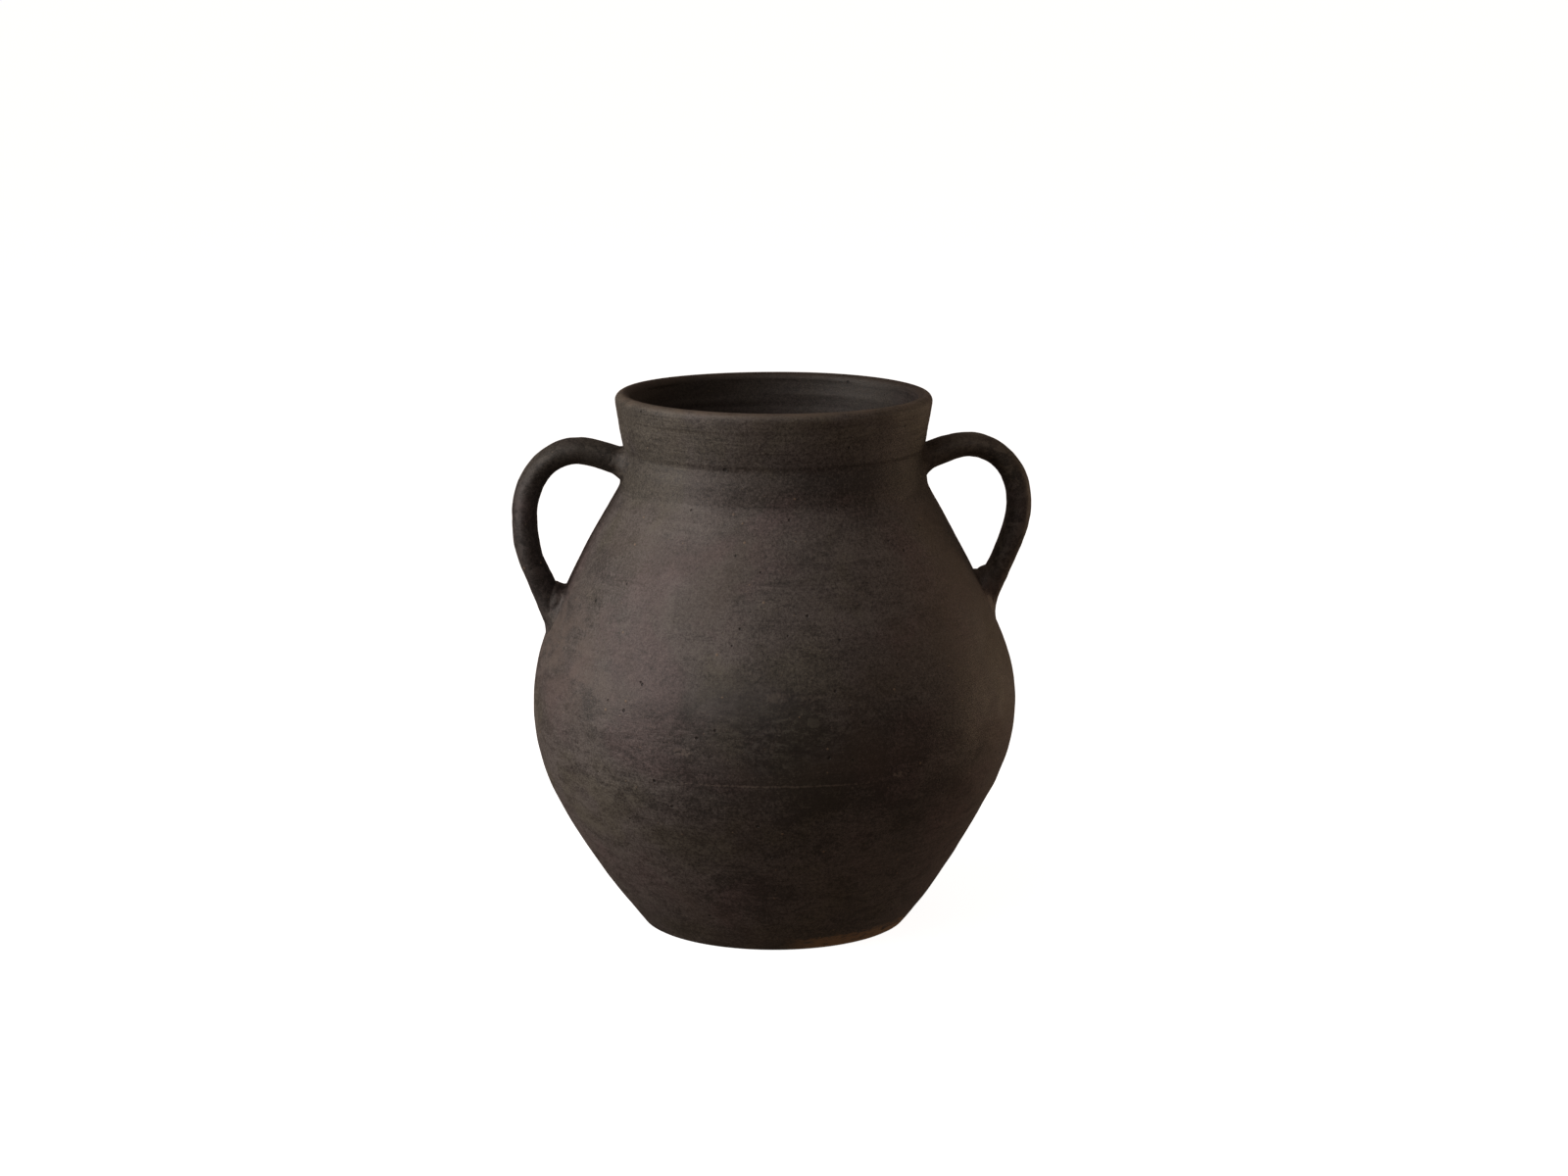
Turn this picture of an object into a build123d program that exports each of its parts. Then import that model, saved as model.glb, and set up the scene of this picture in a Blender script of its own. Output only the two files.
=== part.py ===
from build123d import *
from math import asin, cos, degrees, radians, sin, sqrt
import os

# Two-handled black clay jar.  The jar stands on Z = 0 with its axis on Z; the handles lie on -X and +X.
# The wall is built up in sections that meet on bevelled seams, and each strap handle is luted to the
# outside of the wall with a collar of soft clay at both of its ends.  All sizes are in millimetres.

# Body wall: three tangent arcs, one for each part of the outside curve
wall = 8.0                # wall thickness of the body
belly_radius = 135.3      # half width at the widest line
belly_height = 125.7      # height of the widest line
belly_curve = 107.5       # radius of the arc round the belly
lower_curve = 415.0       # radius of the long arc from the belly down to the foot
lower_turn = 26.4         # angle below the widest line where the lower arc takes over
shoulder_curve = 521.3    # radius of the long arc from the belly up to the neck
shoulder_turn = 22.05     # angle above the widest line where the shoulder arc takes over

# Floor slab
floor_thick = 9.0
slab_bottom_radius = 66.0
slab_top_radius = 60.0
heel_round = 0.8          # rounding of the outside edge of the foot
floor_round = 5.0         # smoothed corner where the wall meets the floor inside

# Seams between the sections: height on the outside, and how far the bevel falls towards the inside
belly_seam = 127.0
belly_bevel = 6.0
neck_seam = 249.0
neck_bevel = 5.0
collar_seam = 268.0
collar_bevel = 5.0

# Neck band
band_radius = 84.9        # outside radius half way up the band
band_top_radius = 82.5    # outside radius in the crease under the collar
band_inner_radius = 75.8  # inside radius half way up the band
band_mid_height = 258.0
throat_radius = 75.0      # smallest inside radius, on the collar seam
throat_height = collar_seam - collar_bevel

# Rim collar
rim_height = 300.0        # top of the lip, the full height of the jar
lip_radius = 4.2          # round of the lip
lip_circle = 83.9         # radius of the circle through the middle of the lip
lip_start = -12.0         # angle on the lip where the outside of the collar joins it
collar_foot_radius = 83.5  # small bead at the bottom edge of the collar
collar_foot_height = 270.6
collar_mid_radius = 85.5
collar_mid_height = 279.5
collar_inner_radius = 76.7
collar_inner_height = 279.0

# Strap handles: oval section, thickness across the loop and depth front to back
left_strap_thick = 14.2
right_strap_thick = 13.4
strap_depth = 23.5
root_thick = 15.0         # the strap is fuller where it leaves the neck
root_depth = 26.0
tail_thick = 12.6
tail_depth = 22.0

# Centre line of each strap as (distance from the axis, height)
left_line = [(77, 259), (93, 264.6), (109.5, 268.2), (127, 261.5), (136.8, 246),
             (139, 230.5), (135.2, 206.5), (128.8, 190), (118.5, 163)]
right_line = [(77, 259.7), (93, 265.8), (109.5, 269.2), (127.2, 262.4), (136.8, 246.3),
              (137.9, 233), (133.2, 214), (125.8, 196.5), (115, 168)]

# Luting clay.  Each collar is a row of ovals: (distance from the axis, height, lean, thickness, depth)
left_neck_clay = [(66, 260.3, 90, 23.0, 56.0), (84, 261.8, 86, 20.4, 42.0), (90, 263.8, 80, 17.2, 32.0),
                  (96.5, 265.8, 76, 15.4, 26.8)]
right_neck_clay = [(66, 260.7, 90, 21.6, 54.0), (84, 262.2, 86, 19.6, 41.0), (89.5, 264.4, 80, 16.4, 31.0),
                   (95.5, 266.6, 76, 14.9, 26.8)]
left_tail_clay = [(131.4, 196.0, 24, 15.4, 26.0), (119.6, 180.0, 26, 21.6, 34.0), (109.2, 160.0, 28, 24.0, 42.0)]
right_tail_clay = [(128.6, 201.4, 26, 15.2, 26.0), (116.6, 185.8, 28, 22.0, 34.0), (105.8, 165.0, 30, 24.0, 42.0)]


# Centres of the three body arcs, each lying on the line through its tangent point
def arc_centre(near, turn, near_curve, far_curve):
    step = near_curve - far_curve
    return (near[0] + step * cos(radians(turn)), near[1] + step * sin(radians(turn)))


belly_centre = (belly_radius - belly_curve, belly_height)
lower_centre = arc_centre(belly_centre, -lower_turn, belly_curve, lower_curve)
shoulder_centre = arc_centre(belly_centre, shoulder_turn, belly_curve, shoulder_curve)


def angle_at(centre, curve, height):
    return degrees(asin((height - centre[1]) / curve))


def radius_at(centre, curve, height):
    return centre[0] + sqrt(curve ** 2 - (height - centre[1]) ** 2)


def body_arc(centre, curve, start, end):
    CenterArc(centre, curve, start, end - start)


# Points on the seams, outside and inside
foot_outer = (radius_at(lower_centre, lower_curve, 0), 0)
floor_outer = (radius_at(lower_centre, lower_curve - wall, floor_thick), floor_thick)
belly_outer = (radius_at(belly_centre, belly_curve, belly_seam), belly_seam)
belly_low = belly_seam - belly_bevel
belly_inner = (radius_at(belly_centre, belly_curve - wall, belly_low), belly_low)
neck_outer = (radius_at(shoulder_centre, shoulder_curve, neck_seam), neck_seam)
neck_low = neck_seam - neck_bevel
neck_inner = (radius_at(shoulder_centre, shoulder_curve - wall, neck_low), neck_low)
collar_outer = (band_top_radius, collar_seam)
collar_inner = (throat_radius, throat_height)
lip_centre = (lip_circle, rim_height - lip_radius)
lip_outer = (lip_circle + lip_radius * cos(radians(lip_start)),
             lip_centre[1] + lip_radius * sin(radians(lip_start)))
lip_inner = (lip_circle - lip_radius, lip_centre[1])

# Floor slab: a flat disc with a bevelled edge under the wall
with BuildPart() as base_disc:
    with BuildSketch(Plane.XZ):
        with BuildLine():
            Polyline((0, 0), (slab_bottom_radius, 0), (slab_top_radius, floor_thick),
                     (0, floor_thick), close=True)
        make_face()
    revolve(axis=Axis.Z)

# Lower bowl: foot ring, flaring wall and the lower half of the belly
with BuildPart() as lower_bowl:
    with BuildSketch(Plane.XZ):
        with BuildLine():
            Line((slab_bottom_radius, 0), foot_outer)
            body_arc(lower_centre, lower_curve, angle_at(lower_centre, lower_curve, 0), -lower_turn)
            body_arc(belly_centre, belly_curve, -lower_turn,
                     angle_at(belly_centre, belly_curve, belly_seam))
            Line(belly_outer, belly_inner)
            body_arc(belly_centre, belly_curve - wall, -lower_turn,
                     angle_at(belly_centre, belly_curve - wall, belly_low))
            body_arc(lower_centre, lower_curve - wall,
                     angle_at(lower_centre, lower_curve - wall, floor_thick), -lower_turn)
            Polyline(floor_outer, (slab_top_radius, floor_thick), (slab_bottom_radius, 0))
        make_face()
        heel = vertices().filter_by_position(Axis.X, foot_outer[0] - 0.1, foot_outer[0] + 0.1)
        fillet(heel, heel_round)
        corner = vertices().filter_by_position(Axis.X, floor_outer[0] - 0.1, floor_outer[0] + 0.1)
        fillet(corner, floor_round)
    revolve(axis=Axis.Z)

# Shoulder wall: from the belly seam up to the foot of the neck
with BuildPart() as shoulder_wall:
    with BuildSketch(Plane.XZ):
        with BuildLine():
            body_arc(belly_centre, belly_curve,
                     angle_at(belly_centre, belly_curve, belly_seam), shoulder_turn)
            body_arc(shoulder_centre, shoulder_curve, shoulder_turn,
                     angle_at(shoulder_centre, shoulder_curve, neck_seam))
            Line(neck_outer, neck_inner)
            body_arc(shoulder_centre, shoulder_curve - wall, shoulder_turn,
                     angle_at(shoulder_centre, shoulder_curve - wall, neck_low))
            body_arc(belly_centre, belly_curve - wall,
                     angle_at(belly_centre, belly_curve - wall, belly_low), shoulder_turn)
            Line(belly_inner, belly_outer)
        make_face()
    revolve(axis=Axis.Z)

# Neck band: one rounded coil between the shoulder and the collar
with BuildPart() as neck_band:
    with BuildSketch(Plane.XZ):
        with BuildLine():
            ThreePointArc(neck_outer, (band_radius, band_mid_height), collar_outer)
            Line(collar_outer, collar_inner)
            ThreePointArc(collar_inner, (band_inner_radius, neck_low + neck_bevel), neck_inner)
            Line(neck_inner, neck_outer)
        make_face()
    revolve(axis=Axis.Z)

# Rim collar: a flaring band that overhangs the neck and ends in a round lip
with BuildPart() as rim_collar:
    with BuildSketch(Plane.XZ):
        with BuildLine():
            Line(collar_outer, (collar_foot_radius, collar_foot_height))
            ThreePointArc((collar_foot_radius, collar_foot_height),
                          (collar_mid_radius, collar_mid_height), lip_outer)
            CenterArc(lip_centre, lip_radius, lip_start, 180 - lip_start)
            ThreePointArc(lip_inner, (collar_inner_radius, collar_inner_height), collar_inner)
            Line(collar_inner, collar_outer)
        make_face()
    revolve(axis=Axis.Z)

# Solid core with the outside shape of the whole jar, used only to trim the handles and the luting clay
with BuildPart() as core:
    with BuildSketch(Plane.XZ):
        with BuildLine():
            Line((0, 0), foot_outer)
            body_arc(lower_centre, lower_curve, angle_at(lower_centre, lower_curve, 0), -lower_turn)
            body_arc(belly_centre, belly_curve, -lower_turn, shoulder_turn)
            body_arc(shoulder_centre, shoulder_curve, shoulder_turn,
                     angle_at(shoulder_centre, shoulder_curve, neck_seam))
            ThreePointArc(neck_outer, (band_radius, band_mid_height), collar_outer)
            Line(collar_outer, (collar_foot_radius, collar_foot_height))
            ThreePointArc((collar_foot_radius, collar_foot_height),
                          (collar_mid_radius, collar_mid_height), lip_outer)
            Polyline(lip_outer, (0, lip_outer[1]), (0, 0))
        make_face()
    revolve(axis=Axis.Z)


# Centre line of a strap on one side of the jar, as a smooth curve in the XZ plane
def strap_path(points, side):
    with BuildLine() as path:
        Spline(*[(side * r, 0, z) for r, z in points])
    return path


def strap_plane(path, place):
    return Plane(origin=path.line @ place, x_dir=(0, 1, 0), z_dir=path.line % place)


left_path = strap_path(left_line, -1)
right_path = strap_path(right_line, 1)
crest = 0.22              # place along the strap of the top of the loop
shank = 0.62              # place along the strap of the narrow straight length

# Left handle: an oval strap pulled in one piece from the neck to the shoulder
with BuildPart() as left_handle:
    with BuildSketch(strap_plane(left_path, 0)):
        Ellipse(root_depth / 2, root_thick / 2)
    with BuildSketch(strap_plane(left_path, crest)):
        Ellipse(strap_depth / 2, left_strap_thick / 2)
    with BuildSketch(strap_plane(left_path, shank)):
        Ellipse(strap_depth / 2, left_strap_thick / 2)
    with BuildSketch(strap_plane(left_path, 1)):
        Ellipse(tail_depth / 2, tail_thick / 2)
    sweep(path=left_path.line, multisection=True)
    add(core.part, mode=Mode.SUBTRACT)

# Right handle: the same strap, landing a little higher on the shoulder
with BuildPart() as right_handle:
    with BuildSketch(strap_plane(right_path, 0)):
        Ellipse(root_depth / 2, root_thick / 2)
    with BuildSketch(strap_plane(right_path, crest)):
        Ellipse(strap_depth / 2, right_strap_thick / 2)
    with BuildSketch(strap_plane(right_path, shank)):
        Ellipse(strap_depth / 2, right_strap_thick / 2)
    with BuildSketch(strap_plane(right_path, 1)):
        Ellipse(tail_depth / 2, tail_thick / 2)
    sweep(path=right_path.line, multisection=True)
    add(core.part, mode=Mode.SUBTRACT)


# One oval of a clay collar, square to a direction that leans away from the vertical in the XZ plane
def clay_plane(oval, side):
    reach, height, lean = oval[:3]
    direction = (side * sin(radians(lean)), 0, cos(radians(lean)))
    return Plane(origin=(side * reach, 0, height), x_dir=(0, 1, 0), z_dir=direction)


# Luting clay: a flared collar round each end of each strap, trimmed by the wall and by the strap
with BuildPart() as left_upper_luting:
    for oval in left_neck_clay:
        with BuildSketch(clay_plane(oval, -1)):
            Ellipse(oval[4] / 2, oval[3] / 2)
    loft()
    add(core.part, mode=Mode.SUBTRACT)
    add(left_handle.part, mode=Mode.SUBTRACT)

with BuildPart() as right_upper_luting:
    for oval in right_neck_clay:
        with BuildSketch(clay_plane(oval, 1)):
            Ellipse(oval[4] / 2, oval[3] / 2)
    loft()
    add(core.part, mode=Mode.SUBTRACT)
    add(right_handle.part, mode=Mode.SUBTRACT)

with BuildPart() as left_lower_luting:
    for oval in left_tail_clay:
        with BuildSketch(clay_plane(oval, -1)):
            Ellipse(oval[4] / 2, oval[3] / 2)
    loft()
    add(core.part, mode=Mode.SUBTRACT)
    add(left_handle.part, mode=Mode.SUBTRACT)

with BuildPart() as right_lower_luting:
    for oval in right_tail_clay:
        with BuildSketch(clay_plane(oval, 1)):
            Ellipse(oval[4] / 2, oval[3] / 2)
    loft()
    add(core.part, mode=Mode.SUBTRACT)
    add(right_handle.part, mode=Mode.SUBTRACT)

os.makedirs("parts", exist_ok=True)

base_disc.part.label = "base_disc"
lower_bowl.part.label = "lower_bowl"
shoulder_wall.part.label = "shoulder_wall"
neck_band.part.label = "neck_band"
rim_collar.part.label = "rim_collar"
left_handle.part.label = "left_handle"
right_handle.part.label = "right_handle"
left_upper_luting.part.label = "left_upper_luting"
left_lower_luting.part.label = "left_lower_luting"
right_upper_luting.part.label = "right_upper_luting"
right_lower_luting.part.label = "right_lower_luting"

export_step(base_disc.part, "parts/base_disc.step")
export_step(lower_bowl.part, "parts/lower_bowl.step")
export_step(shoulder_wall.part, "parts/shoulder_wall.step")
export_step(neck_band.part, "parts/neck_band.step")
export_step(rim_collar.part, "parts/rim_collar.step")
export_step(left_handle.part, "parts/left_handle.step")
export_step(right_handle.part, "parts/right_handle.step")
export_step(left_upper_luting.part, "parts/left_upper_luting.step")
export_step(left_lower_luting.part, "parts/left_lower_luting.step")
export_step(right_upper_luting.part, "parts/right_upper_luting.step")
export_step(right_lower_luting.part, "parts/right_lower_luting.step")
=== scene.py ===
import bpy
import math
import numpy as np
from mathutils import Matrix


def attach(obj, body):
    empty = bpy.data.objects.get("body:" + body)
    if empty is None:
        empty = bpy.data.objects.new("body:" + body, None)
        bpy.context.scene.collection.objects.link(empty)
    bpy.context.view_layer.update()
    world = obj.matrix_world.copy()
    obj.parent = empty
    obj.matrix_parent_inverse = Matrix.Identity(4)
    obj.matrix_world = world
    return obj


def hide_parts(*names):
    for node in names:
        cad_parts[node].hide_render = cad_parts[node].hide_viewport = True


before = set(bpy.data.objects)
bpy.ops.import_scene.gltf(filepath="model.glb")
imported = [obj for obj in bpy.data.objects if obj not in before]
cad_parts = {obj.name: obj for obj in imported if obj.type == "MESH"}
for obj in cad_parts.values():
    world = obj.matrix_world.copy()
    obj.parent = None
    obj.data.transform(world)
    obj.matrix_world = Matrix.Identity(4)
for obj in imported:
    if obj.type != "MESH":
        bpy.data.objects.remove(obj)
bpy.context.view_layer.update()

MM = 0.001
ROUND = 512               # mesh columns round the jar

# The jar's outline, as in the CAD: three tangent arcs, the neck band and the collar
WALL = 8.0
BELLY_RADIUS, BELLY_HEIGHT, BELLY_CURVE = 135.3, 125.7, 107.5
LOWER_CURVE, LOWER_TURN = 415.0, math.radians(26.4)
SHOULDER_CURVE, SHOULDER_TURN = 521.3, math.radians(22.05)
FLOOR_THICK, SLAB_BOTTOM, SLAB_TOP = 9.0, 66.0, 60.0
BELLY_SEAM, BELLY_BEVEL = 127.0, 6.0
NECK_SEAM, NECK_BEVEL = 249.0, 5.0
COLLAR_SEAM, COLLAR_BEVEL = 268.0, 5.0
RIM_HEIGHT, LIP_RADIUS, LIP_CIRCLE = 300.0, 4.2, 83.9


# ---------------------------------------------------------------- camera, lights, floor

def make_camera():
    data = bpy.data.cameras.new("photo_camera")
    cam = bpy.data.objects.new("photo_camera", data)
    bpy.context.scene.collection.objects.link(cam)
    azimuth = math.radians(-4.7)
    distance = 1.9163
    cam.location = (distance * math.sin(azimuth), -distance * math.cos(azimuth), 0.5632)
    cam.rotation_euler = (math.pi / 2 - math.radians(11.05), 0, azimuth)
    data.sensor_width = 36.0
    data.lens = 79.84
    data.shift_x = 10.4 / 1600
    data.clip_start = 0.05
    data.clip_end = 100
    bpy.context.scene.camera = cam


def soft_light(name, azimuth, elevation, distance, size, power, colour):
    """A softbox aimed at the belly. Azimuth 0 is on the photo's side (-Y), positive to the right."""
    data = bpy.data.lights.new(name, "AREA")
    data.shape = "DISK"
    data.size = size
    data.energy = power
    data.color = colour
    lamp = bpy.data.objects.new(name, data)
    a, e = math.radians(azimuth), math.radians(elevation)
    lamp.location = (distance * math.cos(e) * math.sin(a), -distance * math.cos(e) * math.cos(a),
                     0.15 + distance * math.sin(e))
    lamp.rotation_euler = (math.pi / 2 - e, 0, a)
    bpy.context.scene.collection.objects.link(lamp)


def make_lights():
    soft_light("key_high", -80, 45, 1.9, 1.1, 10.5, (1.0, 0.90, 0.83))
    soft_light("key_low", -80, 12, 1.9, 1.1, 14.5, (1.0, 0.92, 0.88))
    soft_light("front_top", -30, 48, 1.9, 1.1, 3.4, (1.0, 0.93, 0.88))
    soft_light("fill", 25, 45, 1.9, 1.1, 0.9, (1.0, 0.92, 0.85))
    soft_light("right_edge", 112, -4, 1.9, 1.1, 6.2, (1.0, 0.70, 0.46))


def make_world():
    world = bpy.data.worlds.new("studio")
    bpy.context.scene.world = world
    world.use_nodes = True
    tree = world.node_tree
    back = tree.nodes["Background"]
    back.inputs["Color"].default_value = (1, 1, 1, 1)
    back.inputs["Strength"].default_value = 1.0
    dim = tree.nodes.new("ShaderNodeBackground")
    dim.inputs["Color"].default_value = (1.0, 0.70, 0.54, 1)
    dim.inputs["Strength"].default_value = 0.12
    path = tree.nodes.new("ShaderNodeLightPath")
    mix = tree.nodes.new("ShaderNodeMixShader")
    tree.links.new(path.outputs["Is Camera Ray"], mix.inputs["Fac"])
    tree.links.new(dim.outputs[0], mix.inputs[1])
    tree.links.new(back.outputs[0], mix.inputs[2])
    tree.links.new(mix.outputs[0], tree.nodes["World Output"].inputs["Surface"])
    bpy.context.scene.view_settings.view_transform = "Standard"


def make_floor():
    """A wide pale floor. It takes the jar's soft shadow but throws no light back up at it."""
    steps = 96
    points = [(0, 0, 0)]
    faces = []
    for radius in (0.6, 3.0, 60.0):
        for k in range(steps):
            a = 2 * math.pi * k / steps
            points.append((radius * math.cos(a), radius * math.sin(a), 0))
    for k in range(steps):
        n = (k + 1) % steps
        faces.append((0, 1 + k, 1 + n))
        for ring in range(2):
            b = 1 + ring * steps
            faces.append((b + k, b + steps + k, b + steps + n, b + n))
    mesh = bpy.data.meshes.new("floor")
    mesh.from_pydata(points, [], faces)
    floor = bpy.data.objects.new("floor", mesh)
    bpy.context.scene.collection.objects.link(floor)
    mat = bpy.data.materials.new("pale_floor")
    mat.use_nodes = True
    bsdf = mat.node_tree.nodes["Principled BSDF"]
    bsdf.inputs["Base Color"].default_value = (0.9, 0.9, 0.9, 1)
    bsdf.inputs["Roughness"].default_value = 0.9
    bsdf.inputs["Specular IOR Level"].default_value = 0.1
    bsdf.inputs["Emission Color"].default_value = (1, 1, 1, 1)
    bsdf.inputs["Emission Strength"].default_value = 0.93
    mesh.materials.append(mat)
    floor.visible_diffuse = False
    floor.visible_glossy = False


# ---------------------------------------------------------------- hand-made unevenness

def field(a, b, cells_a, seed, wrap=True):
    """Smooth noise from -1 to 1 over a grid. a runs 0 to 1 over cells_a cells, b counts cells."""
    cells_b = 97
    grid = np.random.default_rng(seed).uniform(-1, 1, (cells_a, cells_b))
    x = (np.mod(a, 1.0) if wrap else a) * cells_a
    i = np.floor(x).astype(int)
    j = np.floor(b).astype(int)
    fx = x - i
    fy = b - j
    fx = fx * fx * fx * (fx * (6 * fx - 15) + 10)
    fy = fy * fy * fy * (fy * (6 * fy - 15) + 10)
    i0, i1, j0, j1 = i % cells_a, (i + 1) % cells_a, j % cells_b, (j + 1) % cells_b
    low = grid[i0, j0] * (1 - fx) + grid[i1, j0] * fx
    high = grid[i0, j1] * (1 - fx) + grid[i1, j1] * fx
    return low * (1 - fy) + high * fy


def bump(x, centre, width):
    """A bell curve, 1 at the centre."""
    return np.exp(-((x - centre) / width) ** 2)


def smooth(x, low, high):
    t = np.clip((x - low) / (high - low), 0, 1)
    return t * t * (3 - 2 * t)


def lean(theta, z):
    """How far the real outline stands off the true round, in mm, the same inside and outside."""
    right = np.clip(np.cos(theta), 0, 1) ** 2
    left = np.clip(-np.cos(theta), 0, 1) ** 2
    d = 0.3 * bump(z, 132, 22) * right
    d = d + 1.1 * bump(z, 20, 22) * right
    d = d + 1.0 * bump(z, 62, 26) * left
    d = d - 0.4 * bump(z, 62, 20) * right
    fade = smooth(z, 4, 40) * (1 - smooth(z, 255, 290))
    return d + 0.7 * field(theta / (2 * np.pi), z / 62 + 3, 6, 11) * fade


def fillet(z, seam, width):
    """Clay in mm that rounds the kink in the outer skin at a seam into a soft valley."""
    below = (outer_radius(seam - 0.01) - outer_radius(seam - 0.51)) / 0.5
    above = (outer_radius(seam + 0.51) - outer_radius(seam + 0.01)) / 0.5
    x = z - seam
    return 0.5 * (above - below) * (np.sqrt(x ** 2 + width ** 2) - np.abs(x))


def skin(theta, z):
    """Relief of the outer skin in mm: throwing lines above, scraped facets below."""
    turn = theta / (2 * np.pi)
    round_mm = turn * 800
    lines = 0.045 * field(turn + z / 9000, z / 1.6, 9, 21) + 0.07 * field(turn, z / 5.3, 5, 22)
    strong = 0.55 + 0.9 * smooth(z, 246, 270)
    upper = smooth(z, 96, 150)
    slant = round_mm * 0.62 + z * 1.1
    facets = 0.22 * field(turn * 1.0 + z / 1300, slant / 17.0, 24, 31)
    facets = facets + 0.16 * field(turn, z / 9.0, 40, 32)
    dents = 0.22 * field(turn, z / 22 + 7, 22, 41) + 0.10 * field(turn, z / 8 + 2, 70, 42)
    low = smooth(z, 2, 12)
    # clay smeared into the two neck creases, more in some places than in others
    worn = np.clip(0.86 + 0.14 * np.cos(theta + 0.6) + 0.10 * field(turn, 0 * z + 0.7, 9, 71), 0, 1)
    creases = (fillet(z, NECK_SEAM, 4.2) + fillet(z, COLLAR_SEAM, 3.0)) * worn
    return (lines * strong * (0.45 + 0.55 * upper) + (facets * (1 - upper) + dents) * low + creases)


def rim_tilt(theta):
    """Unevenness of the lip's height in mm."""
    return 0.35 * np.cos(theta - 2.6) + 0.30 * field(theta / (2 * np.pi), 0 * theta + 0.5, 7, 51)


# ---------------------------------------------------------------- outline of the wall

def arc_centre(near, turn, near_curve, far_curve):
    step = near_curve - far_curve
    return (near[0] + step * math.cos(turn), near[1] + step * math.sin(turn))


BELLY_C = (BELLY_RADIUS - BELLY_CURVE, BELLY_HEIGHT)
LOWER_C = arc_centre(BELLY_C, -LOWER_TURN, BELLY_CURVE, LOWER_CURVE)
SHOULDER_C = arc_centre(BELLY_C, SHOULDER_TURN, BELLY_CURVE, SHOULDER_CURVE)


def body_radius(z, inset=0.0):
    """Radius of the body's outer face, or of its inner face with inset = WALL, at height z."""
    z = np.asarray(z, float)

    def arc(centre, curve):
        return centre[0] + np.sqrt(np.maximum((curve - inset) ** 2 - (z - centre[1]) ** 2, 0))

    low = BELLY_HEIGHT - (BELLY_CURVE - inset) * math.sin(LOWER_TURN)
    high = BELLY_HEIGHT + (BELLY_CURVE - inset) * math.sin(SHOULDER_TURN)
    return np.where(z < low, arc(LOWER_C, LOWER_CURVE),
                    np.where(z < high, arc(BELLY_C, BELLY_CURVE), arc(SHOULDER_C, SHOULDER_CURVE)))


def through(p0, p1, p2, t):
    """Point on the parabola that passes p0, p1 and p2 at t = 0, 0.5 and 1."""
    t = np.asarray(t, float)[:, None]
    p0, p1, p2 = map(np.array, (p0, p1, p2))
    return p0 * (1 - t) * (1 - 2 * t) + p1 * 4 * t * (1 - t) + p2 * t * (2 * t - 1)


NECK_OUTER = (float(body_radius(NECK_SEAM)), NECK_SEAM)
NECK_INNER = (float(body_radius(NECK_SEAM - NECK_BEVEL, WALL)), NECK_SEAM - NECK_BEVEL)
COLLAR_OUTER = (82.5, COLLAR_SEAM)
COLLAR_INNER = (75.0, COLLAR_SEAM - COLLAR_BEVEL)
BAND_MIDDLE = (84.9, 258.0)
COLLAR_FOOT = (83.6, 270.8)
COLLAR_LINE = [COLLAR_OUTER, COLLAR_FOOT, (85.5, 279.5), (88.0, 294.0)]
LIP_C = (LIP_CIRCLE, RIM_HEIGHT - LIP_RADIUS)


def outer_radius(z):
    """Radius of the whole outer skin at height z, from the foot to below the lip."""
    z = np.asarray(z, float)
    t = np.linspace(0, 1, 60)
    band = through(NECK_OUTER, BAND_MIDDLE, COLLAR_OUTER, t)
    body = body_radius(np.minimum(z, NECK_SEAM))
    r = np.where(z < NECK_SEAM, body, np.interp(z, band[:, 1], band[:, 0]))
    collar_r, collar_z = zip(*COLLAR_LINE)
    return np.where(z > COLLAR_SEAM, np.interp(z, collar_z, collar_r), r)


# ---------------------------------------------------------------- mesh makers

def make_mesh(name, points, faces, sharp_edges=()):
    mesh = bpy.data.meshes.new(name)
    mesh.from_pydata(points.tolist(), [], faces)
    mesh.update()
    mesh.polygons.foreach_set("use_smooth", [True] * len(mesh.polygons))
    if len(sharp_edges):
        wanted = {tuple(sorted(e)) for e in sharp_edges}
        for edge in mesh.edges:
            if tuple(sorted(edge.vertices)) in wanted:
                edge.use_edge_sharp = True
    obj = bpy.data.objects.new(name, mesh)
    bpy.context.scene.collection.objects.link(obj)
    return obj


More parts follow.
